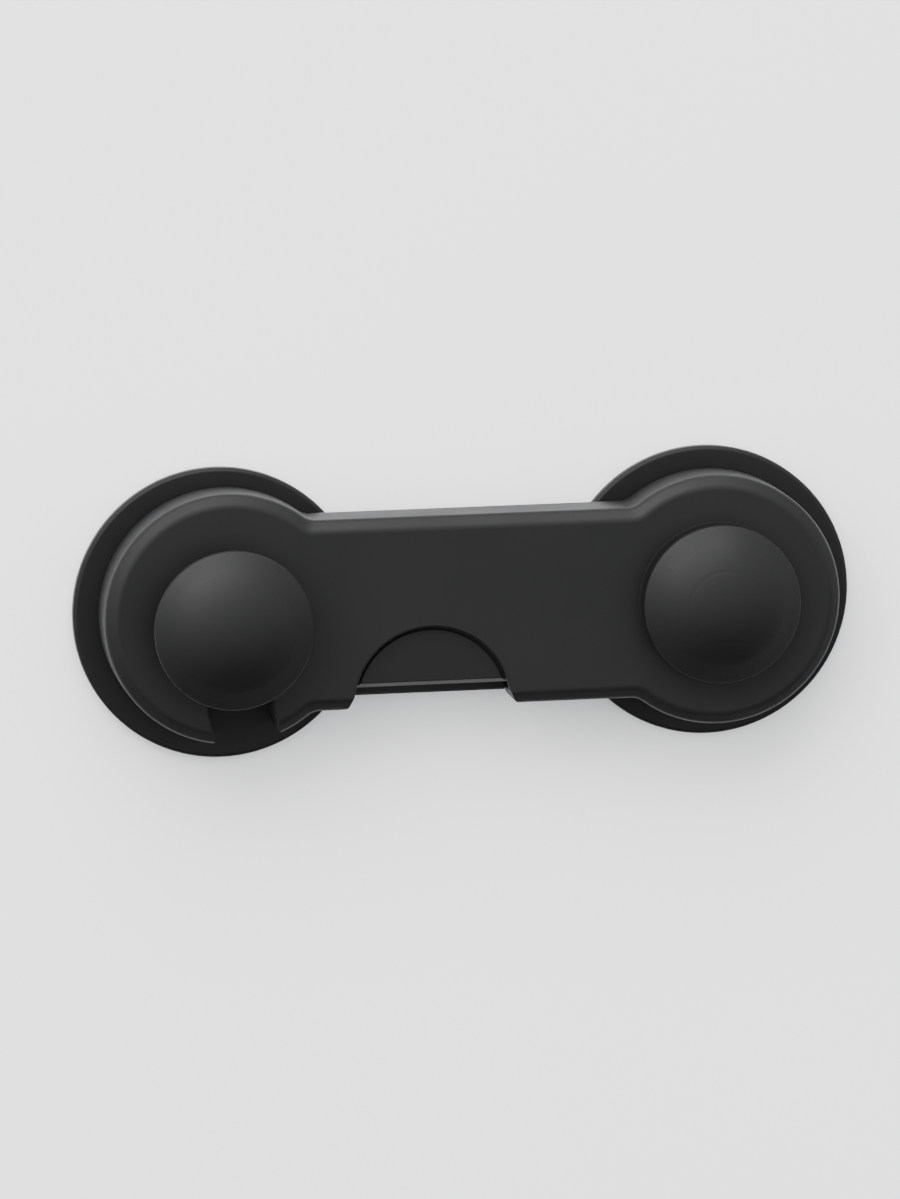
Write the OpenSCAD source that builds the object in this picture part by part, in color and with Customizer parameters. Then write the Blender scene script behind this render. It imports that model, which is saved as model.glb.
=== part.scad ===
// Stick-on swing-bar lock for a cupboard door.
// A bar turns about the right-hand base and hooks over the neck of the
// left-hand base. The origin is on the pivot axis, on the door surface:
// +Z points out of the door, -X along the bar towards the catch, +Y is the
// side that the free end swings up to. Millimetres.

/* [Bases] */
// Diameter of both base discs
base_d = 44.5; // [43:0.5:46]
// Thickness of the base discs
base_t = 2.0; // [1.8:0.1:2.2]
// Diameter of the adhesive pads
pad_d = 42.0; // [38:0.5:43]
// Thickness of the adhesive pads
pad_t = 1.0; // [0.8:0.1:1.2]
// Diameter of the raised shoulder that the bar rides on
shoulder_d = 28.0; // [26:0.5:30]
// Distance from the pivot axis to the catch base, along the bar
base_pitch = 75.0; // [74.9:0.1:75.1]
// How far below the bar's centre line the catch base is stuck
catch_drop = 0.45; // [0.3:0.05:0.5]

/* [Caps] */
// Diameter of both domed caps
cap_d = 24.1; // [24:0.05:24.2]
// Height of the pivot cap's edge above the door
pivot_edge = 18.5; // [18.3:0.1:18.8]
// Height of the catch cap's edge above the door
catch_edge = 21.9; // [21.5:0.1:22.2]
// Rise of the domes above their edge
dome_rise = 3.7; // [3.4:0.1:4.0]
// Thickness of the caps' rim
rim_t = 2.0; // [1.8:0.1:2.2]
// Diameter of the pivot cap's hub, which stands in the bar
hub_d = 20.0; // [19.8:0.1:20.2]
// Diameter of the pivot post that the bar turns on
pivot_post_d = 16.9; // [16.8:0.05:16.95]
// Width of the catch neck across the slot
neck_w = 7.8; // [7.4:0.1:7.9]

/* [Bar] */
// Distance between the centres of the bar's two rings
bar_pitch = 74.5; // [74.4:0.1:74.6]
// Diameter of the rings
ring_d = 38.2; // [37.8:0.1:38.6]
// Width of the straight part of the bar
bar_w = 29.2; // [28.9:0.1:29.5]
// Height of the bar's back above the door
back_z = 4.6; // [4.5:0.05:4.7]
// Height of the outer rim, where the bevel starts
rim_z = 12.6; // [12.4:0.1:12.8]
// Height of the flat front face
face_z = 14.0; // [13.9:0.05:14.1]
// Width of the bevel round the front face
bevel_w = 1.65; // [1.3:0.05:1.9]
// Thickness of the side walls
wall = 1.8; // [1.6:0.1:1.9]
// Width of the catch slot, which is open at the lower edge
slot_w = 9.9; // [9.7:0.1:10.2]

/* [Thumb button] */
// Radius of the half-round opening
open_r = 12.0; // [11.8:0.1:12.2]
// Distance from the pivot axis to the middle of the opening
button_x = 44.0; // [43.5:0.5:44.5]
// Depth of the thumb notch in the lower edge
notch_h = 2.5; // [2.3:0.1:2.6]
// Gap round the button's face
button_gap = 0.45; // [0.3:0.05:0.6]
// Height of the button's face above the door
button_z = 12.8; // [12.6:0.1:13.2]
// Distance from the bar's lower edge to the button's lower edge
button_rise = 3.15; // [3.05:0.1:3.45]
// Distance from the bar's lower edge to the back cover's edge in the notch
tongue_rise = 1.1; // [0.9:0.1:1.4]

/* [Latch] */
// Thickness of the flexible leaf
leaf_t = 1.1; // [0.9:0.1:1.2]
// Diameter of the button spring's wire
wire_d = 0.4; // [0.3:0.05:0.45]
// Number of turns of the button spring
turns = 3.5; // [3:0.5:4]

/* [Hidden] */
$fn = 96;

disc_top = pad_t + base_t;
shoulder_top = 4.4;
web_z = 6.2;                 // inner face of the back cover
roof_z = 12.2;               // inner face of the front cover
ring_r = ring_d / 2;
half_w = bar_w / 2;
cap_r = cap_d / 2;
neck_c = [-base_pitch, -catch_drop];
slot_in = bar_pitch - slot_w / 2;    // radii of the slot's walls about the pivot
slot_out = bar_pitch + slot_w / 2;
lining = 1.4;
bc = [-button_x, -(half_w - 0.3)];   // centre of the half-round opening
low_y = -half_w + notch_h;           // upper end of the notch
plate_y = -half_w + button_rise;     // lower edge of the button
tongue_y = -half_w + tongue_rise;    // edge of the back cover in the notch
hub_r = hub_d / 2;
pivot_under = pivot_edge - rim_t;    // undersides of the two heads
catch_under = catch_edge - rim_t;
bar_bosses = [[-64.0, 8.2], [-86.6, 3.4], [-17.5, 9.4], [-17.5, -9.4]];
slide_y = -6.5;
peg = [-64.6, -6.5];
spring_c = [-42.5, -6.5];
black = [0.07, 0.07, 0.075];

// ---- shared shapes ----

// Cross-shaped driver recess, cut down from z = 0
module cross_recess(size, depth) {
    for (a = [0, 90]) rotate([0, 0, a])
        translate([-size / 2, -size * 0.13, -depth]) cube([size, size * 0.26, depth + 1]);
}

// Self-tapping screw pointing up, with the underside of its head at z = 0
module screw(head_r, head_h, shank_r, length) {
    difference() {
        union() {
            translate([0, 0, -head_h]) cylinder(r1 = head_r * 0.82, r2 = head_r, h = head_h * 0.45);
            translate([0, 0, -head_h * 0.55]) cylinder(r = head_r, h = head_h * 0.55);
            cylinder(r = shank_r, h = length - shank_r);
            translate([0, 0, length - shank_r]) cylinder(r1 = shank_r, r2 = shank_r * 0.35, h = shank_r);
        }
        rotate([180, 0, 0]) translate([0, 0, head_h]) cross_recess(head_r * 1.1, head_h * 0.55);
    }
}

// One end of the bar, with a bevelled front edge
module end_body(r, z0, z1, z2, bevel) {
    rotate_extrude() polygon([[0, z0], [r, z0], [r, z1], [r - bevel, z2], [0, z2]]);
}

// Straight part of the bar between the two ends
module mid_body(w, z0, z1, z2, bevel) {
    translate([-bar_pitch, 0, 0]) rotate([90, 0, 90]) linear_extrude(bar_pitch)
        polygon([[-w, z0], [w, z0], [w, z1], [w - bevel, z2], [-w + bevel, z2], [-w, z1]]);
}

module bar_body(r, w, z0, z1, z2, bevel) {
    end_body(r, z0, z1, z2, bevel);
    translate([-bar_pitch, 0, 0]) end_body(r, z0, z1, z2, bevel);
    mid_body(w, z0, z1, z2, bevel);
}

// Band that follows an arc about the pivot axis through the catch ring
module arc_band(r0, r1, y_top, y_low, z0, z1) {
    intersection() {
        difference() {
            translate([0, 0, z0]) cylinder(r = r1, h = z1 - z0, $fn = 200);
            translate([0, 0, z0 - 1]) cylinder(r = r0, h = z1 - z0 + 2, $fn = 200);
        }
        translate([-95, y_low, z0 - 1]) cube([45, y_top - y_low, z1 - z0 + 2]);
    }
}

// Catch slot, open at the lower edge
module slot_cut() {
    arc_band(slot_in, slot_out, 4.8, -30, back_z - 1, face_z + 1);
}

// Thumb notch through the lower edge, wider at the bottom
module notch_cut() {
    a = sqrt(open_r * open_r - pow(low_y - bc[1], 2)) - 0.02;
    translate([bc[0], 0, back_z - 1]) linear_extrude(face_z - back_z + 2)
        polygon([[-a, low_y], [a, low_y], [a + 1.25, -half_w - 0.1],
                 [a + 1.25, -half_w - 1], [-a - 1.25, -half_w - 1], [-a - 1.25, -half_w - 0.1]]);
}

// Part of a disc about the opening's centre, above a straight lower edge
module half_moon(r, y0, z0, z1) {
    intersection() {
        translate([bc[0], bc[1], z0]) cylinder(r = r, h = z1 - z0);
        translate([bc[0] - 20, y0, z0 - 1]) cube([40, 30, z1 - z0 + 2]);
    }
}

// ---- bases ----

module adhesive_pad(x, y) {
    color([0.16, 0.16, 0.17]) translate([x, y, 0]) cylinder(d = pad_d, h = pad_t);
}
module pivot_adhesive_pad() adhesive_pad(0, 0);
module catch_adhesive_pad() adhesive_pad(neck_c[0], neck_c[1]);

// Base disc with eased edges and the raised shoulder
module base_disc() {
    r = base_d / 2;
    rotate_extrude() polygon([[0, pad_t], [r - 0.35, pad_t], [r, pad_t + 0.35], [r, disc_top - 0.6],
                              [r - 0.6, disc_top], [shoulder_d / 2, disc_top],
                              [shoulder_d / 2 - 0.4, shoulder_top], [0, shoulder_top]]);
}

// Hole for a cap screw and its head, from the underside
module screw_way() {
    translate([0, 0, -1]) cylinder(r = 1.6, h = 16, $fn = 48);
    translate([0, 0, -1]) cylinder(r = 2.95, h = 4.05, $fn = 48);
}

module pivot_base() {
    color(black) difference() {
        union() {
            base_disc();
            translate([0, 0, 2]) cylinder(d = pivot_post_d, h = 9.0);
        }
        screw_way();
        translate([0, 0, 6.0]) cylinder(r = 5.2, h = 10);
    }
}

module catch_base() {
    color(black) translate([neck_c[0], neck_c[1], 0]) difference() {
        union() {
            base_disc();
            intersection() {
                translate([0, 0, 2]) cylinder(r = 4.5, h = catch_under - 2);
                translate([-neck_w / 2, -3.6, 0]) cube([neck_w, 9, 25]);
            }
        }
        screw_way();
        translate([0, 0, 7.0]) cylinder(r = 2.75, h = 16, $fn = 48);
    }
}

// Domed head with a thin flat-sided rim
module dome(edge) {
    re = cap_r - 0.75;
    rs = (re * re + dome_rise * dome_rise) / (2 * dome_rise);
    union() {
        translate([0, 0, edge - rim_t]) cylinder(r = cap_r, h = rim_t - 0.8);
        translate([0, 0, edge - 0.8]) cylinder(r1 = cap_r, r2 = re, h = 0.8);
        intersection() {
            translate([0, 0, edge + dome_rise - rs]) sphere(r = rs, $fn = 200);
            translate([0, 0, edge - 0.001]) cylinder(r = re, h = 5);
        }
    }
}

// Head, hub that stands in the bar, and a middle that seats in the post
module pivot_cap() {
    color(black) difference() {
        union() {
            dome(pivot_edge);
            translate([0, 0, 7.0]) cylinder(r = hub_r, h = pivot_under - 6.5);
        }
        difference() {
            translate([0, 0, 6]) cylinder(r = pivot_post_d / 2 + 0.15, h = 11.4);
            translate([0, 0, 5]) cylinder(r = 5.0, h = 14);
        }
        translate([0, 0, 5]) cylinder(r = 1.5, h = 8.4, $fn = 48);
    }
    color(black) translate([0, 0, 6.0]) difference() {
        cylinder(r = 5.0, h = 1.2);
        translate([0, 0, -1]) cylinder(r = 1.5, h = 4, $fn = 48);
    }
}

// Head on top of the neck, with a stem that seats in it
module catch_cap() {
    color(black) translate([neck_c[0], neck_c[1], 0]) difference() {
        union() {
            difference() {
                dome(catch_edge);
                difference() {
                    translate([0, 0, catch_under - 1]) cylinder(r = cap_r - 2.4, h = 2.6);
                    translate([0, 0, catch_under - 2]) cylinder(r = 4.6, h = 8);
                }
            }
            translate([0, 0, 7.1]) cylinder(r = 2.7, h = catch_under - 7.0, $fn = 48);
        }
        translate([0, 0, 5]) cylinder(r = 1.5, h = 8.4, $fn = 48);
    }
}

module cap_screws() {
    color([0.72, 0.73, 0.75]) for (c = [[0, 0], neck_c])
        translate([c[0], c[1], 3.05]) screw(2.75, 1.9, 1.45, 10);
}

module pivot_washer() {
    color([0.75, 0.76, 0.78]) translate([0, 0, web_z + 0.15]) difference() {
        cylinder(r = hub_r - 0.2, h = 0.5);
        translate([0, 0, -1]) cylinder(r = pivot_post_d / 2 + 0.2, h = 3);
    }
}

// ---- bar ----

module bar_front_cover() {
    color(black) difference() {
        union() {
            difference() {
                bar_body(ring_r, half_w, back_z, rim_z, face_z, bevel_w);
                bar_body(ring_r - wall, half_w - wall, back_z - 1, rim_z - 1.1, roof_z, 0.7);
            }
            // lining of the catch slot, closed at its upper end
            intersection() {
                arc_band(slot_in - lining, slot_out + lining, 4.8 + lining, -30, web_z + 0.1, roof_z + 0.5);
                translate([-bar_pitch, 0, 0]) cylinder(r = ring_r - wall / 2, h = 20);
            }
            // bearing tube round the pivot cap's hub
            translate([0, 0, web_z + 0.1]) cylinder(r = hub_r + 0.15 + 1.5, h = roof_z - web_z + 0.3);
            // low collar on the face, under the head
            translate([0, 0, face_z - 0.5]) cylinder(r = cap_r + 0.1, h = 0.65);
            // screw bosses
            for (p = bar_bosses) translate([p[0], p[1], 7.1]) cylinder(r = 2.4, h = roof_z - 7.1 + 0.4, $fn = 48);
            // rib that keeps the slide down
            translate([-59.1, -8.6, 8.2]) cube([0.9, 4.4, roof_z - 8.2 + 0.4]);
            // rib that stops the leaf's foot from turning
            translate([-60.2, 8.6, 8.2]) cube([1.8, 0.9, roof_z - 8.2 + 0.4]);
        }
        translate([0, 0, back_z - 1]) cylinder(r = hub_r + 0.15, h = 20);
        slot_cut();
        // window for the hook
        translate([-70.6, -9.5, 7.7]) cube([3.4, 5.6, roof_z - 7.7]);
        for (p = bar_bosses) translate([p[0], p[1], 6]) cylinder(r = 1.0, h = 5.6, $fn = 48);
        half_moon(open_r, -half_w - 1, roof_z - 0.4, face_z + 1);
        notch_cut();
    }
}

module bar_back_cover() {
    color(black) difference() {
        union() {
            bar_body(ring_r - wall - 0.12, half_w - wall - 0.12, back_z, web_z - 0.3, web_z, 0.3);
            for (p = bar_bosses) translate([p[0], p[1], web_z - 0.4]) cylinder(r = 3.2, h = 1.25, $fn = 48);
            // tongue that fills the bottom of the notch
            translate([bc[0] - open_r + 0.5, tongue_y, back_z]) cube([2 * open_r - 1, 2, web_z - back_z]);
            // guides beside the slide; the lower one also closes the notch from inside
            translate([-61, -9.9, web_z - 0.4]) cube([30, 0.8, 2.4]);
            translate([-61, -3.9, web_z - 0.4]) cube([14, 0.8, 2.4]);
            // peg for the spring
            translate([spring_c[0], spring_c[1], web_z - 0.4]) cylinder(r = 1.5, h = 1.4, $fn = 48);
            // collar that carries the leaf's eye
            translate([bar_bosses[0][0], bar_bosses[0][1], web_z - 0.4]) difference() {
                cylinder(r = 3.4, h = 2.35, $fn = 48);
                translate([0, 0, 1.25]) cylinder(r = 2.5, h = 3, $fn = 48);
            }
        }
        translate([0, 0, back_z - 1]) cylinder(d = pivot_post_d + 0.16, h = 5);
        slot_cut();
        for (p = bar_bosses) translate([p[0], p[1], 0]) {
            cylinder(r = 1.1, h = 9, $fn = 48);
            cylinder(r = 2.05, h = 5.85, $fn = 48);
        }
        // pocket that the button's cam dips into
        translate([-54.5, slide_y - 1.3, 5.15]) cube([6.6, 2.6, 3]);
    }
}

module bar_cover_screws() {
    color([0.72, 0.73, 0.75]) for (p = bar_bosses)
        translate([p[0], p[1], 5.84]) screw(1.9, 1.15, 0.97, 5.4);
}

module thumb_button() {
    flange_z = roof_z - 0.1;
    color(black) union() {
        // face, inside the opening
        half_moon(open_r - button_gap, plate_y, 10.7, button_z);
        // flange under the front cover
        half_moon(open_r + 0.8, plate_y, 10.6, flange_z);
        // lower wall
        intersection() {
            half_moon(open_r - button_gap, plate_y, 8.5, 11);
            translate([bc[0] - 20, plate_y, 8]) cube([40, 1.0, 4]);
        }
        // cam
        translate([0, slide_y + 0.8, 0]) rotate([90, 0, 0]) linear_extrude(1.6)
            polygon([[-54.0, 7.5], [-52.95, 7.5], [-48.0, 10.8], [-54.0, 10.8]]);
        // peg for the spring
        translate([spring_c[0], spring_c[1], 9.9]) cylinder(r = 1.5, h = 1.2, $fn = 48);
    }
}

module release_slide() {
    color([0.25, 0.25, 0.26]) union() {
        difference() {
            translate([-66.0, slide_y - 2.3, 6.4]) cube([15.9, 4.6, 1.6]);
            translate([-57.6, slide_y - 1.1, 6]) cube([5.5, 2.2, 3]);
        }
        translate([peg[0], peg[1], 7.5]) cylinder(r = 0.75, h = 3.0, $fn = 48);
    }
}

module latch_leaf() {
    z0 = 8.25;
    h = 3.5;
    e = bar_bosses[0];
    color([0.25, 0.25, 0.26]) translate([0, 0, z0]) difference() {
        union() {
            // eye round the screw boss
            translate([e[0], e[1], 0]) cylinder(r = 3.6, h = h, $fn = 64);
            // spring arm
            linear_extrude(h) polygon([[-67.1, 6.4], [-66.2 - leaf_t, -4.25], [-66.2, -4.6], [-65.6, 6.0]]);
            // hook across the slot
            linear_extrude(h) polygon([[-74.1, -4.25], [-66.0, -4.25], [-66.0, -9.0], [-69.9, -9.0], [-74.1, -5.0]]);
            // foot against the side wall, which keeps the eye from turning
            translate([e[0], 9.7, 0]) cube([5.4, 2.6, h]);
            // tail round the slide's peg
            linear_extrude(h) polygon([[-66.1, -4.6], [-63.0, -4.9], [-63.0, -8.1], [-66.1, -8.4]]);
        }
        translate([e[0], e[1], -1]) cylinder(r = 2.47, h = h + 2, $fn = 64);
        translate([peg[0], peg[1], -1]) cylinder(r = 0.9, h = h + 2, $fn = 48);
    }
}

// Points of one ring of the spring's wire
function coil_point(a, s, n, r, w, z0, z1, total) =
    let (t = a / (360 * total), q = 360 * s / n)
    [(r + w * cos(q)) * cos(a), (r + w * cos(q)) * sin(a), z0 + (z1 - z0) * t + w * sin(q)];

module button_spring() {
    n = 8;
    per_turn = 18;
    rings = round(per_turn * turns);
    w = wire_d / 2;
    z0 = web_z + w + 0.05;
    z1 = 10.6 - w - 0.05;
    pts = [for (i = [0 : rings]) for (s = [0 : n - 1])
        coil_point(i * 360 / per_turn, s, n, 2.1, w, z0, z1, turns)];
    sides = [for (i = [0 : rings - 1]) for (s = [0 : n - 1])
        [i * n + s, i * n + (s + 1) % n, (i + 1) * n + (s + 1) % n, (i + 1) * n + s]];
    first = [for (s = [0 : n - 1]) n - 1 - s];
    last = [for (s = [0 : n - 1]) rings * n + s];
    color([0.78, 0.79, 0.81]) translate([spring_c[0], spring_c[1], 0])
        polyhedron(points = pts, faces = concat([first], [last], sides), convexity = 6);
}

pivot_adhesive_pad();
catch_adhesive_pad();
pivot_base();
catch_base();
pivot_cap();
catch_cap();
cap_screws();
pivot_washer();
bar_front_cover();
bar_back_cover();
bar_cover_screws();
thumb_button();
release_slide();
latch_leaf();
button_spring();
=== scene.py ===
"""Looks of the cabinet safety lock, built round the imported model. Lengths in the helpers are in mm."""
import math

import bmesh
import bpy
from mathutils import Matrix, Vector


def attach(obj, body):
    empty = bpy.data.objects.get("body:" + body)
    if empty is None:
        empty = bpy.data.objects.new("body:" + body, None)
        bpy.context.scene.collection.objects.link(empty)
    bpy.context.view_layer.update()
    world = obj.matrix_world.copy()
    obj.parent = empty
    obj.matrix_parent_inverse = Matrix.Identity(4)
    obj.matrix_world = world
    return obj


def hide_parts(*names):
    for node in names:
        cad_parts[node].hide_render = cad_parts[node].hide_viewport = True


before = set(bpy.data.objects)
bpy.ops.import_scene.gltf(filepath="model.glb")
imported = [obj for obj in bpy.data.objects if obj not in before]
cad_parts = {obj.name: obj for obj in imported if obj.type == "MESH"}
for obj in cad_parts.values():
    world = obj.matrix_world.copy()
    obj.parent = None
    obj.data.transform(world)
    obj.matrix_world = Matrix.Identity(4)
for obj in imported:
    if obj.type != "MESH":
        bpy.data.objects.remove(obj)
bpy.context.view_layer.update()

MM = 0.001
PI = math.pi

# The lock's own sizes, the same as the construction's
PITCH = 74.5          # between the bar's ring centres
NECK = (-75.0, -0.45)
RING_R, HALF_W = 19.1, 14.6
BACK_Z, RIM_Z, FACE_Z, BEVEL = 4.6, 12.9, 14.0, 1.65
ROOF_Z, WEB_Z = 12.2, 6.2
WALL = 1.8
CAP_R, RISE, RIM_T, HUB_R = 12.05, 3.7, 2.0, 10.0
PIVOT_EDGE, CATCH_EDGE = 18.5, 21.9   # heights of the two heads' edges
POST_R = 8.45
SLOT_IN, SLOT_OUT = PITCH - 4.95, PITCH + 4.95
BC = (-44.0, -14.3)   # centre of the half-round opening
OPEN_R, LOW_Y = 12.0, -12.1   # radius of the opening, upper end of the notch
PLATE_Y, TONGUE_Y = -11.45, -13.5   # lower edge of the plate, edge of the back cover in the notch
BOSSES = [(-64.0, 8.2), (-86.6, 3.4), (-17.5, 9.4), (-17.5, -9.4)]
SPRING_C = (-42.5, -6.5)


# ---------------------------------------------------------------- mesh helpers

def make(name, verts, faces):
    """A mesh object from points in mm, with its faces turned outwards."""
    me = bpy.data.meshes.new(name)
    me.from_pydata([(x * MM, y * MM, z * MM) for x, y, z in verts], [], faces)
    bm = bmesh.new()
    bm.from_mesh(me)
    bmesh.ops.remove_doubles(bm, verts=bm.verts, dist=1e-7)
    bmesh.ops.recalc_face_normals(bm, faces=bm.faces)
    bm.to_mesh(me)
    bm.free()
    ob = bpy.data.objects.new(name, me)
    bpy.context.scene.collection.objects.link(ob)
    return ob


def fillet(pts, radii, closed=False, seg=6):
    """Rounds the corners of a 2D polyline. radii has one number per point."""
    n, out = len(pts), []
    for i, p in enumerate(pts):
        r = radii[i] if isinstance(radii, (list, tuple)) else radii
        if r <= 0 or (not closed and i in (0, n - 1)):
            out.append(tuple(p))
            continue
        p, a, b = Vector(p), Vector(pts[i - 1]), Vector(pts[(i + 1) % n])
        u, v = (a - p), (b - p)
        lu, lv = u.length, v.length
        u, v = u / lu, v / lv
        half = math.acos(max(-1.0, min(1.0, u.dot(v)))) / 2
        if half < 1e-4 or abs(half - PI / 2) < 1e-3:
            out.append(tuple(p))
            continue
        d = min(r / math.tan(half), lu * 0.499, lv * 0.499)
        r = d * math.tan(half)
        c = p + (u + v).normalized() * (r / math.sin(half))
        s, e = p + u * d - c, p + v * d - c
        turn = s.angle_signed(e)
        for k in range(seg + 1):
            q = s.copy()
            q.rotate(Matrix.Rotation(-turn * k / seg, 2))
            out.append(tuple(c + q))
    return out


def revolve(name, profile, n=192, centre=(0, 0), closed=False):
    """Turns a profile of (radius, z) about the Z axis through centre."""
    verts, rings, faces = [], [], []
    for r, z in profile:
        if r < 1e-6:
            rings.append([len(verts)])
            verts.append((centre[0], centre[1], z))
        else:
            rings.append(list(range(len(verts), len(verts) + n)))
            verts += [(centre[0] + r * math.cos(2 * PI * k / n), centre[1] + r * math.sin(2 * PI * k / n), z)
                      for k in range(n)]
    pairs = list(zip(rings, rings[1:])) + ([(rings[-1], rings[0])] if closed else [])
    for a, b in pairs:
        for k in range(n):
            j = (k + 1) % n
            if len(a) == 1 and len(b) == 1:
                break
            if len(a) == 1:
                faces.append((a[0], b[j], b[k]))
            elif len(b) == 1:
                faces.append((a[k], a[j], b[0]))
            else:
                faces.append((a[k], a[j], b[j], b[k]))
    return make(name, verts, faces)


def loft(name, rings):
    """Joins closed rings of the same number of 3D points, and closes both ends."""
    n, verts, faces = len(rings[0]), [], []
    for ring in rings:
        verts += ring
    for i in range(len(rings) - 1):
        for k in range(n):
            j = (k + 1) % n
            faces.append((i * n + k, i * n + j, (i + 1) * n + j, (i + 1) * n + k))
    faces.append(tuple(reversed(range(n))))
    faces.append(tuple(range((len(rings) - 1) * n, len(rings) * n)))
    return make(name, verts, faces)


def prism(name, outline, z0, z1):
    return loft(name, [[(x, y, z) for x, y in outline] for z in (z0, z1)])


def block(name, lo, hi):
    return prism(name, [(lo[0], lo[1]), (hi[0], lo[1]), (hi[0], hi[1]), (lo[0], hi[1])], lo[2], hi[2])


def rod(name, x, y, r, z0, z1, n=64):
    return revolve(name, [(0, z0), (r, z0), (r, z1), (0, z1)], n=n, centre=(x, y))


def tube(name, x, y, r0, r1, z0, z1, n=64):
    return revolve(name, [(r0, z0), (r1, z0), (r1, z1), (r0, z1)], n=n, centre=(x, y), closed=True)


def combine(a, b, operation):
    """Applies a boolean of b on a, and removes b."""
    m = a.modifiers.new("bool", "BOOLEAN")
    m.operation = operation
    m.solver = "MANIFOLD"
    m.object = b
    dg = bpy.context.evaluated_depsgraph_get()
    me = bpy.data.meshes.new_from_object(a.evaluated_get(dg), depsgraph=dg)
    a.modifiers.remove(m)
    old, cut = a.data, b.data
    a.data = me
    bpy.data.objects.remove(b)
    bpy.data.meshes.remove(old)
    bpy.data.meshes.remove(cut)
    if not len(me.polygons):
        raise RuntimeError("boolean left nothing of " + a.name)
    return a


def cut(a, *tools):
    for b in tools:
        combine(a, b, "DIFFERENCE")
    return a


def add(a, *tools):
    for b in tools:
        combine(a, b, "UNION")
    return a


def finish_mesh(ob, angle=32, weld=2e-6):
    """Welds, smooths up to an angle, and lets large faces set the normals."""
    me = ob.data
    bm = bmesh.new()
    bm.from_mesh(me)
    bmesh.ops.remove_doubles(bm, verts=bm.verts, dist=weld)
    bmesh.ops.dissolve_degenerate(bm, dist=weld, edges=bm.edges)
    bm.to_mesh(me)
    bm.free()
    me.shade_smooth()
    me.set_sharp_from_angle(angle=math.radians(angle))
    w = ob.modifiers.new("normals", "WEIGHTED_NORMAL")
    w.keep_sharp = True
    w.weight = 100
    return ob


def ease(z, size, up=True, stop=78, seg=6, out=0.6):
    """(offset, z) pairs of a cutter that rounds the edge at height z, flaring out past the face."""
    s = 1 if up else -1
    pts = []
    for k in range(seg + 1):
        a = math.radians(stop) * k / seg
        pts.append((size - size * math.cos(a), z - s * (size - size * math.sin(a))))
    a = math.radians(stop)
    pts.append((pts[-1][0] + out * math.sin(a), pts[-1][1] + s * out * math.cos(a)))
    return pts


# ---------------------------------------------------------------- outlines

def bar_outline(t, rho, n_ring=132, n_f=8, n_line=20):
    """Outline of the bar set in by t, with its four inner corners rounded by rho."""
    R, w = RING_R - t, HALF_W - t
    cx = math.sqrt((R + rho) ** 2 - (w + rho) ** 2)
    a = math.atan2(w + rho, cx)
    pts = []

    def arc(c, r, a0, a1, n, first=False):
        for i in range(0 if first else 1, n + 1):
            q = a0 + (a1 - a0) * i / n
            pts.append((c[0] + r * math.cos(q), c[1] + r * math.sin(q)))

    def line(x0, x1, y):
        for i in range(1, n_line + 1):
            pts.append((x0 + (x1 - x0) * i / n_line, y))

    arc((0, 0), R, -(PI - a), PI - a, n_ring, True)
    arc((-cx, w + rho), rho, -a, -PI / 2, n_f)
    line(-cx, -PITCH + cx, w)
    arc((-PITCH + cx, w + rho), rho, -PI / 2, -(PI - a), n_f)
    arc((-PITCH, 0), R, a, 2 * PI - a, n_ring)
    arc((-PITCH + cx, -(w + rho)), rho, PI - a, PI / 2, n_f)
    line(-PITCH + cx, -cx, -w)
    arc((-cx, -(w + rho)), rho, PI / 2, a, n_f)
    pts.pop()
    return pts


def slot_outline(t, tip=0.45):
    """The catch slot, wider by t, with its walls flared where they leave the ring."""
    ri, ro, top = SLOT_IN - t, SLOT_OUT + t, 4.8 + t
    R = RING_R

    def wall(r, side):
        # down the wall from the closed end to just before the ring's edge, then out along the ring
        y_ring = None
        for i in range(4000):
            y = -10 - i * 0.005
            x = -math.sqrt(r * r - y * y)
            if math.hypot(x + PITCH, y) >= R:
                y_ring = y
                break
        exit_pt = Vector((-math.sqrt(r * r - y_ring * y_ring), y_ring))
        y_stop = y_ring + 1.3
        pts = []
        for i in range(33):
            y = top + (y_stop - top) * i / 32
            pts.append((-math.sqrt(r * r - y * y), y))
        rad = (exit_pt - Vector((-PITCH, 0))).normalized()
        tan = Vector((-rad[1], rad[0])) * side
        far = exit_pt + tan * 1.4 + rad * 0.3
        corner = fillet([pts[-1], tuple(exit_pt), tuple(far)], [0, tip, 0], seg=6)
        return pts[:-1] + corner

    inner = wall(ri, 1)
    outer = wall(ro, -1)
    low = [(inner[-1][0] + 1.0, -26.0), (outer[-1][0] - 1.0, -26.0)]
    return inner + low + list(reversed(outer))


def half_round(r, y0, n=72, n_low=24):
    """Part of a circle about the opening's centre above y0, from the right end over the top, then back along y0."""
    q = math.asin((y0 - BC[1]) / r)
    pts = [(BC[0] + r * math.cos(q + (PI - 2 * q) * i / n), BC[1] + r * math.sin(q + (PI - 2 * q) * i / n))
           for i in range(n + 1)]
    x = r * math.cos(q)
    pts += [(BC[0] - x + 2 * x * i / n_low, y0) for i in range(1, n_low)]
    return pts


def notch_outline():
    a = math.sqrt(OPEN_R ** 2 - (LOW_Y - BC[1]) ** 2) - 0.02
    right = fillet([(a, LOW_Y), (a + 1.05, -14.45), (a + 3.4, -14.92), (a + 3.6, -16)], [0, 0.75, 0, 0], seg=8)
    left = [(-x, y) for x, y in reversed(right)]
    return [(BC[0] + x, y) for x, y in right + left]


# ---------------------------------------------------------------- bar

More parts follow.
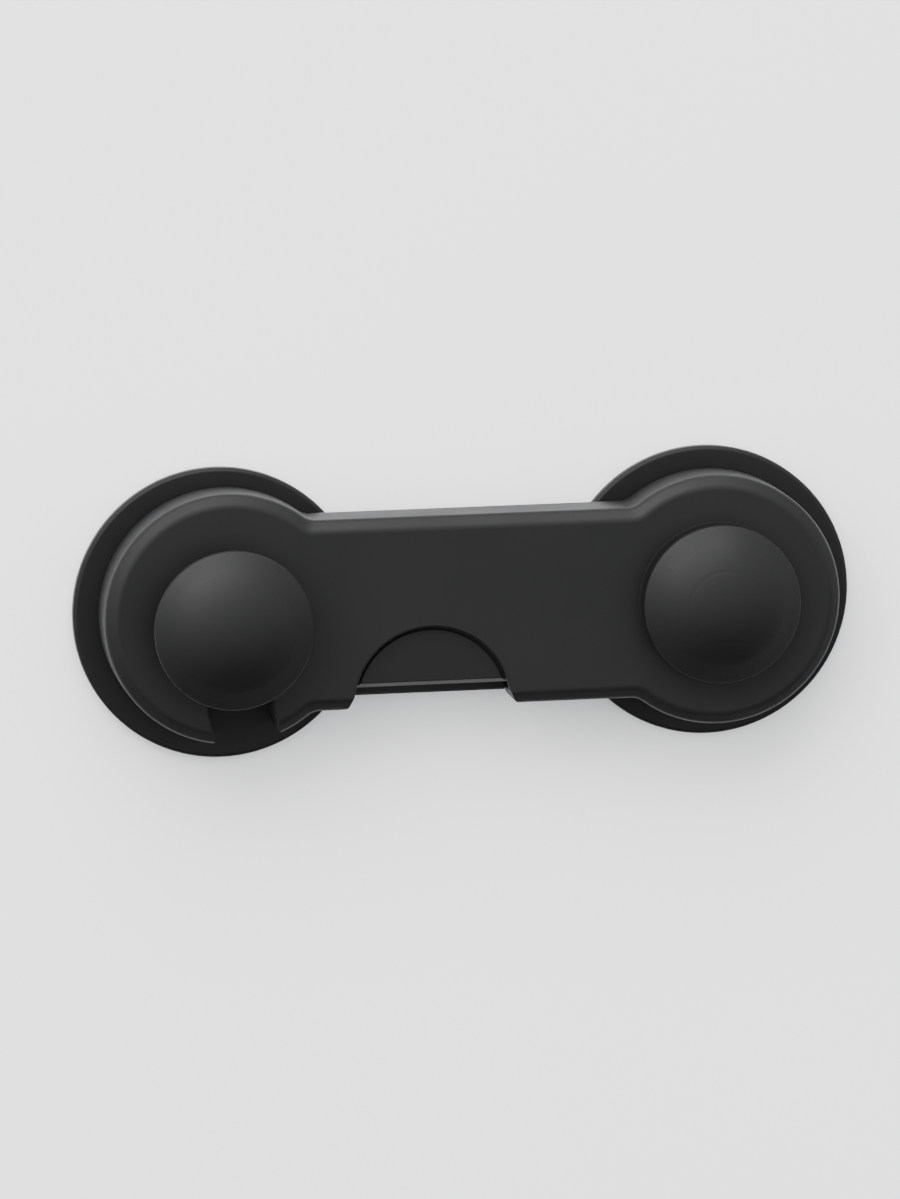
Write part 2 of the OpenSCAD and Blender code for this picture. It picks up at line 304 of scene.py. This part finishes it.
def build_front_cover():
    prof = fillet([(3, BACK_Z), (0, BACK_Z), (0, RIM_Z), (BEVEL, FACE_Z), (6, FACE_Z)],
                  [0, 0.3, 1.1, 1.8, 0], seg=10)[1:-1]
    ob = loft("front_cover", [[(x, y, z) for x, y in bar_outline(t, 3.0)] for t, z in prof])
    cavity = loft("cavity", [[(x, y, z) for x, y in bar_outline(t, 0.6)]
                             for t, z in [(WALL, 3.6), (WALL, 11.5), (WALL + 0.7, ROOF_Z)]])
    cut(ob, cavity)
    # lining of the slot
    lining = prism("lining", [(-math.sqrt(r * r - y * y), y)
                              for r, ys in ((SLOT_IN - 1.4, range(0, 41)), (SLOT_OUT + 1.4, range(40, -1, -1)))
                              for y in [6.2 - 26.2 * k / 40 for k in ys]], WEB_Z + 0.1, ROOF_Z + 0.5)
    combine(lining, rod("lim", -PITCH, 0, RING_R - 0.9, 0, 20, 192), "INTERSECT")
    add(ob, lining)
    add(ob, tube("bearing", 0, 0, HUB_R - 1, HUB_R + 1.65, WEB_Z + 0.1, ROOF_Z + 0.5, 160))
    # low collar on the face, under the head
    z = FACE_Z + 0.15
    add(ob, revolve("collar", [(HUB_R - 1, FACE_Z - 0.5), (12.15, FACE_Z - 0.5), (12.15, z - 0.08), (12.12, z - 0.03),
                               (12.05, z), (HUB_R - 1, z)], 192, closed=True))
    for i, p in enumerate(BOSSES):
        add(ob, rod("boss", p[0], p[1], 2.4, 7.1, ROOF_Z + 0.4))
    add(ob, block("rib", (-59.1, -8.6, 8.2), (-58.2, -4.2, ROOF_Z + 0.4)),
        block("rib", (-60.2, 8.6, 8.2), (-58.4, 9.5, ROOF_Z + 0.4)))
    # bore for the pivot cap's hub, with an eased edge
    bore = [(0, 3)] + [(HUB_R + 0.15 + t, z) for t, z in reversed(ease(WEB_Z + 0.1, 0.25, up=False))] + \
           [(HUB_R + 0.15 + t, z) for t, z in ease(FACE_Z + 0.15, 0.15)] + [(0, FACE_Z + 2)]
    bore[0] = (0, bore[1][1])
    bore[-1] = (0, bore[-2][1])
    cut(ob, revolve("bore", bore, 192))
    # catch slot
    levels = [(t, z) for t, z in reversed(ease(BACK_Z, 0.3, up=False))] + ease(FACE_Z, 0.4)
    cut(ob, loft("slot", [[(x, y, z) for x, y in slot_outline(t)] for t, z in levels]))
    cut(ob, block("window", (-70.6, -9.5, 7.7), (-67.2, -3.9, ROOF_Z - 0.01)))
    for p in BOSSES:
        cut(ob, rod("pilot", p[0], p[1], 1.0, 6, 11.6, 48))
    # half-round opening and thumb notch
    levels = [(0.0, ROOF_Z - 0.9)] + ease(FACE_Z, 0.4)
    cut(ob, loft("opening", [[(x, y, z) for x, y in half_round(OPEN_R + t, -15.5 + 1.2, 96)] for t, z in levels]))
    cut(ob, prism("notch", notch_outline(), 3.6, 15))
    return ob


def build_back_cover():
    t = WALL + 0.12
    prof = [(t + 0.25, BACK_Z), (t + 0.06, BACK_Z + 0.07), (t, BACK_Z + 0.25), (t, WEB_Z - 0.3), (t + 0.3, WEB_Z)]
    ob = loft("back_cover", [[(x, y, z) for x, y in bar_outline(q, 0.5)] for q, z in prof])
    for p in BOSSES:
        add(ob, rod("pad", p[0], p[1], 3.2, WEB_Z - 0.4, 7.05))
    tongue = fillet([(BC[0] + 11.5, -11.2), (BC[0] - 11.5, -11.2), (BC[0] - 11.72, -12.1), (BC[0] - 12.3, TONGUE_Y),
                     (BC[0] + 12.3, TONGUE_Y), (BC[0] + 11.72, -12.1)], [0, 0, 0.1, 0.12, 0.12, 0.1], closed=True)
    add(ob, loft("tongue", [[(x, min(y, -11.3) + q * (1 if y < -12.9 else 0), z) for x, y in tongue]
                            for q, z in ((0.2, BACK_Z), (0.05, BACK_Z + 0.06), (0, BACK_Z + 0.2), (0, WEB_Z - 0.25), (0.25, WEB_Z))]))
    add(ob, block("guide", (-61, -9.9, WEB_Z - 0.4), (-31, -9.1, 8.2)),
        block("guide", (-61, -3.9, WEB_Z - 0.4), (-47, -3.1, 8.2)),
        revolve("peg", [(0, WEB_Z - 0.4), (1.5, WEB_Z - 0.4), (1.5, 6.95), (1.25, 7.2), (0, 7.2)], 48, SPRING_C),
        tube("collar", BOSSES[0][0], BOSSES[0][1], 2.5, 3.4, 7.05 - 0.3, 8.15))
    hole = [(POST_R + 0.08 + q, z) for q, z in reversed(ease(BACK_Z, 0.2, up=False))] + \
           [(POST_R + 0.08 + q, z) for q, z in ease(WEB_Z, 0.2)]
    cut(ob, revolve("hole", [(0, hole[0][1])] + hole + [(0, hole[-1][1])], 160))
    levels = [(q, z) for q, z in reversed(ease(BACK_Z, 0.3, up=False))] + [(0.0, WEB_Z + 2)]
    cut(ob, loft("slot", [[(x, y, z) for x, y in slot_outline(q)] for q, z in levels]))
    for p in BOSSES:
        cut(ob, rod("way", p[0], p[1], 1.1, 3, 9, 48),
            revolve("recess", [(0, 4.2), (2.35, 4.2), (2.3, BACK_Z), (2.1, BACK_Z + 0.14), (2.05, BACK_Z + 0.3),
                               (2.05, 5.85), (0, 5.85)], 64, p))
    cut(ob, block("pocket", (-54.5, -7.8, 5.15), (-47.9, -5.2, 9)))
    return ob


def build_button():
    """Half-round plate with a sloping lower edge, its flange and the cam under it."""
    # (height, set-in of the round edge, set-in of the lower edge)
    levels = [(10.7, 0, 0), (11.2, 0, 0), (11.28, 0, 0.01), (11.4, 0, 0.05), (12.66, 0, 0.72), (12.7, 0.06, 0.745),
              (12.74, 0.12, 0.78), (12.78, 0.2, 0.84), (12.8, 0.32, 0.93)]
    rings = [[(x, y, z) for x, y in half_round(OPEN_R - 0.45 - t, PLATE_Y + q, 96)] for z, t, q in levels]
    ob = loft("button", rings)
    add(ob, loft("flange", [[(x, y, z) for x, y in half_round(OPEN_R + 0.8, PLATE_Y + q, 96)]
                            for z, q in ((10.6, 0), (11.2, 0), (11.28, 0.012), (11.4, 0.055), (12.1, 0.43))]))
    wall = prism("wall", half_round(OPEN_R - 0.45, PLATE_Y), 8.5, 10.9)
    combine(wall, block("lim", (BC[0] - 20, PLATE_Y - 1, 8), (BC[0] + 20, PLATE_Y + 1.0, 12)), "INTERSECT")
    add(ob, wall)
    leg = make("leg", [(x, y, z) for y in (-7.3, -5.7) for x, z in
                       ((-54.0, 7.5), (-52.95, 7.5), (-48.0, 10.8), (-54.0, 10.8))],
               [(0, 1, 2, 3), (7, 6, 5, 4), (0, 4, 5, 1), (1, 5, 6, 2), (2, 6, 7, 3), (3, 7, 4, 0)])
    add(ob, leg, revolve("peg", [(0, 9.9), (1.3, 9.9), (1.5, 10.1), (1.5, 11.0), (0, 11.0)], 48, SPRING_C))
    return ob


# ---------------------------------------------------------------- bases and caps

def disc_edge():
    """Outer part of a base's profile, from the underside up to the shoulder."""
    return fillet([(2.95, 1.0), (22.25, 1.0), (22.25, 3.0), (14.05, 3.0), (13.6, 4.4), (8.5, 4.4)],
                  [0, 0.3, 0.65, 0.35, 0.35, 0], seg=7)


def build_pivot_base():
    prof = disc_edge()[:-1] + fillet([(POST_R + 0.4, 4.4), (POST_R, 4.4), (POST_R, 11.0), (5.2, 11.0), (5.2, 6.0), (1.6, 6.0)],
                                     [0, 0, 0.3, 0.2, 0, 0], seg=5) + [(1.6, 3.05), (2.95, 3.05)]
    return revolve("pivot_base_mesh", prof, 224, closed=True)


def neck_outline(r=4.5, half=3.9, low=-3.6):
    pts = []
    a0 = math.acos(half / r)
    for k in range(25):
        q = a0 + (PI - 2 * a0) * k / 24
        pts.append((r * math.cos(q), r * math.sin(q)))
    b = math.asin(low / r)
    xl = -half if math.cos(b) * r > half else -math.cos(b) * r
    x0 = min(half, math.cos(b) * r)
    pts.append((-half, -math.sqrt(r * r - half * half)))
    pts.append((-x0, low))
    pts.append((x0, low))
    pts.append((half, -math.sqrt(r * r - half * half)))
    return fillet(pts, [0] * 25 + [0.3, 0.5, 0.5, 0.3], closed=True, seg=5)


def build_catch_base():
    prof = disc_edge()[:-1] + [(1.6, 4.4), (1.6, 3.05), (2.95, 3.05)]
    ob = revolve("catch_base_mesh", prof, 224, NECK, closed=True)
    out = neck_outline()
    neck = loft("neck", [[(NECK[0] + x * s, NECK[1] + y * s, z) for x, y in out]
                         for s, z in ((1.0, 3.6), (1.0, CATCH_EDGE - RIM_T - 0.25), (0.985, CATCH_EDGE - RIM_T - 0.05),
                                      (0.95, CATCH_EDGE - RIM_T))])
    add(ob, neck)
    cut(ob, rod("way", NECK[0], NECK[1], 1.6, 3.0, 8, 64), rod("seat", NECK[0], NECK[1], 2.75, 7.0, 22, 64))
    return ob


def dome_profile(edge, mark=None):
    """From the side of the rim up and over to the axis, with a shallow ring mark if asked."""
    re = CAP_R - 0.75
    rs = (re * re + RISE * RISE) / (2 * RISE)
    zc = edge + RISE - rs
    q1, q2 = math.asin((re - 0.35) / rs), math.asin((re - 2.2) / rs)
    start, inner = [(rs * math.sin(q), zc + rs * math.cos(q)) for q in (q1, q2)]
    rim = fillet([(CAP_R, edge - RIM_T + 0.7), (CAP_R, edge - 0.4), start, inner], [0, 0.22, 1.6, 0], seg=8)[:-1]
    pts = []
    for k in range(121):
        q = q2 * (1 - k / 120)
        r, z = rs * math.sin(q), zc + rs * math.cos(q)
        if mark and abs(r - mark) < 0.5:
            z -= 0.007 * (1 + math.cos(PI * (r - mark) / 0.5))
        pts.append((r, z))
    pts[-1] = (0, edge + RISE)
    return rim + pts


def build_pivot_cap():
    z0 = PIVOT_EDGE - RIM_T
    prof = [(0, 13.4), (1.5, 13.4), (1.5, 6.0)] + \
        fillet([(1.5, 6.0), (5.0, 6.0), (5.0, 17.4), (8.6, 17.4), (8.6, 7.0), (HUB_R, 7.0), (HUB_R, z0), (CAP_R, z0),
                (CAP_R, z0 + 1.2)], [0, 0.3, 0.3, 0.3, 0.15, 0.25, 0.3, 0.55, 0], seg=6)[1:-1] + dome_profile(PIVOT_EDGE, 5.5)
    return revolve("pivot_cap_mesh", prof, 224)


def build_catch_cap():
    z0 = CATCH_EDGE - RIM_T
    prof = [(0, 13.4), (1.5, 13.4), (1.5, 7.1)] + \
        fillet([(1.5, 7.1), (2.7, 7.1), (2.7, z0), (4.6, z0), (4.6, z0 + 1.6), (CAP_R - 2.4, z0 + 1.6), (CAP_R - 2.4, z0),
                (CAP_R, z0), (CAP_R, z0 + 1.2)], [0, 0.2, 0, 0, 0.3, 0.5, 0.15, 0.55, 0], seg=6)[1:-1] + dome_profile(CATCH_EDGE)
    return revolve("catch_cap_mesh", prof, 224, NECK)


def build_pad(name, centre):
    """Foam disc whose cut edge is drawn in a little between its two faces."""
    prof = [(0, 0.0), (12, 0.0), (20.75, 0.0), (20.93, 0.03), (21.0, 0.12)]
    prof += [(21.0 - 0.16 * math.sin(PI * k / 8), 0.12 + 0.76 * k / 8) for k in range(1, 8)]
    prof += [(21.0, 0.88), (20.93, 0.97), (20.75, 1.0), (12, 1.0), (0, 1.0)]
    return revolve(name, prof, 224, centre)


# ---------------------------------------------------------------- small parts

def build_screw(name, x, y, z, head_r, head_h, r, length, pitch):
    """Pan head screw pointing up: cross recess below, a cut thread above."""
    n = 40
    prof = [(0, z - head_h)] + fillet([(0.2, z - head_h), (head_r * 0.86, z - head_h), (head_r, z - head_h * 0.45), (head_r, z), (r, z)],
                                      [0, head_h * 0.45, head_h * 0.3, 0.08, 0], seg=6)[:-1]
    head = revolve("head", prof + [(r * 0.72, z), (r * 0.72, z + 0.3), (0, z + 0.3)], 64, (x, y))
    # thread
    core, steps = r * 0.74, int(length / pitch * 14)
    rings = []
    for i in range(steps + 1):
        h = length * i / steps
        taper = 1.0 if h < length - 2.2 * r else max(0.12, (length - h) / (2.2 * r))
        ring = []
        for k in range(n):
            q = 2 * PI * k / n
            f = (h / pitch - k / n) % 1.0
            tri = max(0.0, 1 - abs(f - 0.5) * 3.4)
            run_in = min(1.0, h / (0.8 * pitch))
            rad = (core + (r - core) * tri * run_in) * taper
            ring.append((x + rad * math.cos(q), y + rad * math.sin(q), z + h))
        rings.append(ring)
    rings[0] = [(px, py, z - 0.05) for px, py, pz in rings[0]]
    add(head, loft("thread", rings))
    s, w, d = head_r * 0.62, head_r * 0.13, head_h * 0.6
    for along in (0, 1):
        a, b = (s, w) if along == 0 else (w, s)
        lo = [(x - a, y - b), (x + a, y - b), (x + a, y + b), (x - a, y + b)]
        hi = [(x + (px - x) * (0.55 if abs(px - x) > w * 1.1 else 0.8), y + (py - y) * (0.55 if abs(py - y) > w * 1.1 else 0.8)) for px, py in lo]
        cut(head, loft("cross", [[(px, py, z - head_h - 0.3) for px, py in lo], [(px, py, z - head_h) for px, py in lo],
                                 [(px, py, z - head_h + d) for px, py in hi]]))
    head.name = name
    return head


def join(name, obs):
    for o in obs:
        o.select_set(False)
    bm = bmesh.new()
    for o in obs:
        bm.from_mesh(o.data)
    me = bpy.data.meshes.new(name)
    bm.to_mesh(me)
    bm.free()
    for o in obs:
        old = o.data
        bpy.data.objects.remove(o)
        bpy.data.meshes.remove(old)
    ob = bpy.data.objects.new(name, me)
    bpy.context.scene.collection.objects.link(ob)
    return ob


def build_spring():
    """Compression spring with closed end coils, of round wire."""
    turns, per, n, w, r = 5.5, 40, 14, 0.2, 2.1
    z0, z1 = WEB_Z + 0.05 + w, 10.6 - 0.05 - w
    steps = int(turns * per)
    rings = []
    for i in range(steps + 1):
        t = i / per
        # one dead turn at each end
        live = min(max(t - 0.85, 0.0), turns - 1.7) / (turns - 1.7)
        z = z0 + 0.42 * min(t, 0.85) / 0.85 * 0.9 + (z1 - z0 - 2 * 0.42 * 0.9) * live + 0.42 * 0.9 * max(0.0, t - (turns - 0.85)) / 0.85
        q = 2 * PI * t
        ring = []
        for k in range(n):
            p = 2 * PI * k / n
            rad = r + w * math.cos(p)
            ring.append((SPRING_C[0] + rad * math.cos(q), SPRING_C[1] + rad * math.sin(q), z + w * math.sin(p)))
        rings.append(ring)
    return loft("button_spring_wire", rings)


# ---------------------------------------------------------------- materials

def nodes_of(name):
    m = bpy.data.materials.new(name)
    m.use_nodes = True
    nt = m.node_tree
    bsdf = next(n for n in nt.nodes if n.type == "BSDF_PRINCIPLED")
    tc = nt.nodes.new("ShaderNodeTexCoord")
    return m, nt, bsdf, tc.outputs["Object"]


def noise(nt, vec, scale, detail=2.0, rough=0.5, dist=0.0):
    n = nt.nodes.new("ShaderNodeTexNoise")
    n.inputs["Scale"].default_value = scale
    n.inputs["Detail"].default_value = detail
    n.inputs["Roughness"].default_value = rough
    n.inputs["Distortion"].default_value = dist
    nt.links.new(vec, n.inputs["Vector"])
    return n.outputs["Fac"]


def ramp(nt, fac, stops):
    r = nt.nodes.new("ShaderNodeValToRGB")
    el = r.color_ramp.elements
    while len(el) < len(stops):
        el.new(0.5)
    for e, (p, c) in zip(el, stops):
        e.position = p
        e.color = (c[0], c[1], c[2], 1) if not isinstance(c, float) else (c, c, c, 1)
    nt.links.new(fac, r.inputs["Fac"])
    return r.outputs["Color"]


def scaled(nt, fac, lo, hi, a=0.3, b=0.7):
    r = nt.nodes.new("ShaderNodeMapRange")
    r.inputs["From Min"].default_value = a
    r.inputs["From Max"].default_value = b
    r.inputs["To Min"].default_value = lo
    r.inputs["To Max"].default_value = hi
    nt.links.new(fac, r.inputs["Value"])
    return r.outputs["Result"]


def bump(nt, height, strength, distance, normal=None):
    b = nt.nodes.new("ShaderNodeBump")
    b.inputs["Strength"].default_value = strength
    b.inputs["Distance"].default_value = distance
    nt.links.new(height, b.inputs["Height"])
    if normal is not None:
        nt.links.new(normal, b.inputs["Normal"])
    return b.outputs["Normal"]


def black_plastic(name, tone=0.018, rough=0.46, spread=0.06, grain=0.35):
    """Near-black moulded plastic with a fine spark-eroded texture and a little handling shine."""
    m, nt, bsdf, co = nodes_of(name)
    cloud = noise(nt, co, 55.0, 3.0, 0.55)
    fine = noise(nt, co, 5200.0, 1.5, 0.5)
    mid = noise(nt, co, 1700.0, 2.0, 0.6)
    nt.links.new(ramp(nt, cloud, [(0.25, (tone * 0.86, tone * 0.87, tone * 0.88)), (0.75, (tone * 1.14, tone * 1.13, tone * 1.11))]),
                 bsdf.inputs["Base Color"])
    nt.links.new(scaled(nt, cloud, rough - spread, rough + spread), bsdf.inputs["Roughness"])
    n1 = bump(nt, mid, grain, 0.00002)
    n2 = bump(nt, fine, grain, 0.000012, n1)
    nt.links.new(n2, bsdf.inputs["Normal"])
    bsdf.inputs["IOR"].default_value = 1.48
    bsdf.inputs["Specular IOR Level"].default_value = 0.175
    return m


def foam(name):
    """Closed-cell foam tape: dark and dull, with small open cells on the cut edge; the pits of the cells carry painted
    shade.
    """
    m, nt, bsdf, co = nodes_of(name)
    cells = nt.nodes.new("ShaderNodeTexVoronoi")
    cells.inputs["Scale"].default_value = 3200.0
    nt.links.new(co, cells.inputs["Vector"])
    cloud = noise(nt, co, 180.0, 3.0)
    # Colour follows the cells: the foam's own dark tone, plus painted shade at the pits that the bump draws, lighter at
    # their rims
    nt.links.new(ramp(nt, cells.outputs["Distance"], [(0.1, (0.012, 0.012, 0.013)), (0.6, (0.042, 0.042, 0.044))]),
                 bsdf.inputs["Base Color"])
    nt.links.new(scaled(nt, cloud, 0.78, 0.95), bsdf.inputs["Roughness"])
    nt.links.new(bump(nt, cells.outputs["Distance"], 0.6, 0.00008), bsdf.inputs["Normal"])
    bsdf.inputs["Specular IOR Level"].default_value = 0.2
    return m


def acetal(name):
    m, nt, bsdf, co = nodes_of(name)
    cloud = noise(nt, co, 120.0, 3.0)
    fine = noise(nt, co, 4200.0, 2.0)
    nt.links.new(ramp(nt, cloud, [(0.3, (0.014, 0.014, 0.0145)), (0.7, (0.020, 0.020, 0.0205))]), bsdf.inputs["Base Color"])
    nt.links.new(scaled(nt, cloud, 0.40, 0.50), bsdf.inputs["Roughness"])
    bsdf.inputs["Specular IOR Level"].default_value = 0.16
    nt.links.new(bump(nt, fine, 0.25, 0.00001), bsdf.inputs["Normal"])
    return m


def steel(name, rough=0.28, tint=(0.60, 0.60, 0.61)):
    m, nt, bsdf, co = nodes_of(name)
    cloud = noise(nt, co, 260.0, 3.0)
    turn = noise(nt, co, 3800.0, 2.0, 0.7)
    nt.links.new(ramp(nt, cloud, [(0.3, tuple(c * 0.88 for c in tint)), (0.7, tint)]), bsdf.inputs["Base Color"])
    nt.links.new(scaled(nt, turn, rough - 0.07, rough + 0.09), bsdf.inputs["Roughness"])
    nt.links.new(bump(nt, turn, 0.2, 0.00001), bsdf.inputs["Normal"])
    bsdf.inputs["Metallic"].default_value = 1.0
    return m


M_COVER = black_plastic("cover_plastic", 0.0046, 0.50)
M_CAP = black_plastic("cap_plastic", 0.0042, 0.50)
M_BASE = black_plastic("base_plastic", 0.0028, 0.50)
M_BUTTON = black_plastic("button_plastic", 0.0030, 0.50)
M_FOAM = foam("foam_tape")
M_INNER = acetal("inner_acetal")
M_STEEL = steel("plated_steel")
M_WASHER = steel("stamped_steel", 0.34, (0.56, 0.56, 0.57))
M_WIRE = steel("spring_wire", 0.22, (0.58, 0.58, 0.60))


# ---------------------------------------------------------------- pieces

def place(ob, name, body, node, material, angle=32, finish=True):
    ob.name = name
    ob.data.name = name
    if finish:
        finish_mesh(ob, angle)
    ob.data.materials.clear()
    ob.data.materials.append(material)
    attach(ob, body)
    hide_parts(node)
    return ob


place(build_front_cover(), "front_cover", "bar", "bar_front_cover", M_COVER)
place(build_back_cover(), "back_cover", "bar", "bar_back_cover", M_COVER)
place(build_button(), "button_plate", "button", "thumb_button", M_BUTTON)
place(build_pivot_base(), "pivot_base_moulding", "bases", "pivot_base", M_BASE)
place(build_catch_base(), "catch_base_moulding", "bases", "catch_base", M_BASE)
place(build_pivot_cap(), "pivot_cap_moulding", "bases", "pivot_cap", M_CAP)
place(build_catch_cap(), "catch_cap_moulding", "bases", "catch_cap", M_CAP)
place(build_pad("pad_a", (0, 0)), "pivot_pad_foam", "bases", "pivot_adhesive_pad", M_FOAM)
place(build_pad("pad_b", NECK), "catch_pad_foam", "bases", "catch_adhesive_pad", M_FOAM)
place(join("cap_screw_pair", [build_screw("s", x, y, 3.05, 2.75, 1.9, 1.45, 10, 1.1) for x, y in ((0, 0), NECK)]),
      "cap_screw_pair", "bases", "cap_screws", M_STEEL, 40)
place(join("cover_screw_set", [build_screw("s", x, y, 5.84, 1.9, 1.15, 0.97, 5.4, 0.8) for x, y in BOSSES]),
      "cover_screw_set", "bar", "bar_cover_screws", M_STEEL, 40)
place(build_spring(), "spring_wire", "bar", "button_spring", M_WIRE, 40)

for node, slot, mat in (("pivot_washer", "washer", M_WASHER), ("release_slide", "inner", M_INNER),
                        ("latch_leaf", "inner", M_INNER)):
    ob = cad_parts[node]
    ob.data.materials.clear()
    ob.data.materials.append(mat)


# ---------------------------------------------------------------- stage

def floor_material():
    m, nt, bsdf, co = nodes_of("pale_floor")
    soft = noise(nt, co, 14.0, 3.0)
    nt.links.new(ramp(nt, soft, [(0.3, (0.915, 0.92, 0.92)), (0.7, (0.93, 0.935, 0.935))]), bsdf.inputs["Base Color"])
    bsdf.inputs["Roughness"].default_value = 0.75
    return m


floor = make("floor", [(-2500, -2500, 0), (2500, -2500, 0), (2500, 2500, 0), (-2500, 2500, 0)], [(0, 1, 2, 3)])
floor.location.z = -0.0001
floor.data.materials.append(floor_material())


def area(name, pos, aim, size, power, tone=(1, 1, 1)):
    li = bpy.data.lights.new(name, "AREA")
    li.shape = "RECTANGLE"
    li.size, li.size_y = size
    li.energy = power
    li.color = tone
    ob = bpy.data.objects.new(name, li)
    bpy.context.scene.collection.objects.link(ob)
    ob.location = pos
    ob.rotation_euler = (Vector(aim) - Vector(pos)).to_track_quat("-Z", "Y").to_euler()
    return ob


MID = (-0.037, 0.0, 0.008)
area("key", (-0.34, 0.94, 0.66), MID, (1.4, 0.9), 27.0)
area("left", (-0.85, 0.55, 0.95), MID, (0.9, 0.9), 7.0)


def gradient(nt, vector, direction, stops):
    """Brightness along one direction of the room. stops are (cosine, value) pairs."""
    dot = nt.nodes.new("ShaderNodeVectorMath")
    dot.operation = "DOT_PRODUCT"
    dot.inputs[1].default_value = direction
    nt.links.new(vector, dot.inputs[0])
    span = nt.nodes.new("ShaderNodeMapRange")
    span.inputs["From Min"].default_value = -1.0
    span.inputs["From Max"].default_value = 1.0
    nt.links.new(dot.outputs["Value"], span.inputs["Value"])
    r = nt.nodes.new("ShaderNodeValToRGB")
    el = r.color_ramp.elements
    el[0].position, el[1].position = 0.0, 1.0
    for k, (q, v) in enumerate(stops):
        e = el[0] if k == 0 else el[len(el) - 1] if k == len(stops) - 1 else el.new((q + 1) / 2)
        e.color = (v * 0.985, v * 0.995, v, 1)
    nt.links.new(span.outputs["Result"], r.inputs["Fac"])
    return r.outputs["Color"]


def studio_world():
    """A soft room light: brighter above, even in front, and dark below and near the horizon."""
    world = bpy.context.scene.world or bpy.data.worlds.new("world")
    bpy.context.scene.world = world
    world.use_nodes = True
    nt = world.node_tree
    bg = next(n for n in nt.nodes if n.type == "BACKGROUND")
    tc = nt.nodes.new("ShaderNodeTexCoord")
    up = gradient(nt, tc.outputs["Generated"], (-0.13, 0.97, 0.0),
                  [(-1.0, 0.02), (-0.9, 0.03), (-0.6, 0.08), (-0.3, 0.26), (-0.15, 0.45), (0.15, 0.62), (0.45, 0.56), (0.8, 0.84), (1.0, 0.80)])
    low = gradient(nt, tc.outputs["Generated"], (0.0, 0.0, 1.0), [(-1.0, 0.18), (0.05, 0.22), (0.4, 1.0), (1.0, 1.0)])
    mix = nt.nodes.new("ShaderNodeMix")
    mix.data_type = "RGBA"
    mix.blend_type = "MULTIPLY"
    mix.inputs["Factor"].default_value = 1.0
    ins = [q for q in mix.inputs if q.type == "RGBA"]
    nt.links.new(up, ins[0])
    nt.links.new(low, ins[1])
    nt.links.new(next(q for q in mix.outputs if q.type == "RGBA"), bg.inputs["Color"])
    bg.inputs["Strength"].default_value = 4.5


studio_world()

# Camera of the photograph's view
d = Vector((-0.1508, 0.1538, 1.0)).normalized()
right = Vector((0, 1, 0)).cross(d).normalized()
up = d.cross(right)
roll = -0.0184
r2 = right * math.cos(roll) + up * math.sin(roll)
u2 = up * math.cos(roll) - right * math.sin(roll)
target = Vector((-39.34, 0.05, 2.2)) * MM
pos = target + d * 1.5
cam_data = bpy.data.cameras.new("camera")
cam_data.lens = 9840.7 / 1199 * 36.0
cam_data.sensor_width = 36.0
cam_data.clip_start, cam_data.clip_end = 0.05, 20.0
cam = bpy.data.objects.new("camera", cam_data)
bpy.context.scene.collection.objects.link(cam)
cam.matrix_world = Matrix(((r2.x, u2.x, d.x, pos.x), (r2.y, u2.y, d.y, pos.y), (r2.z, u2.z, d.z, pos.z), (0, 0, 0, 1)))
bpy.context.scene.camera = cam
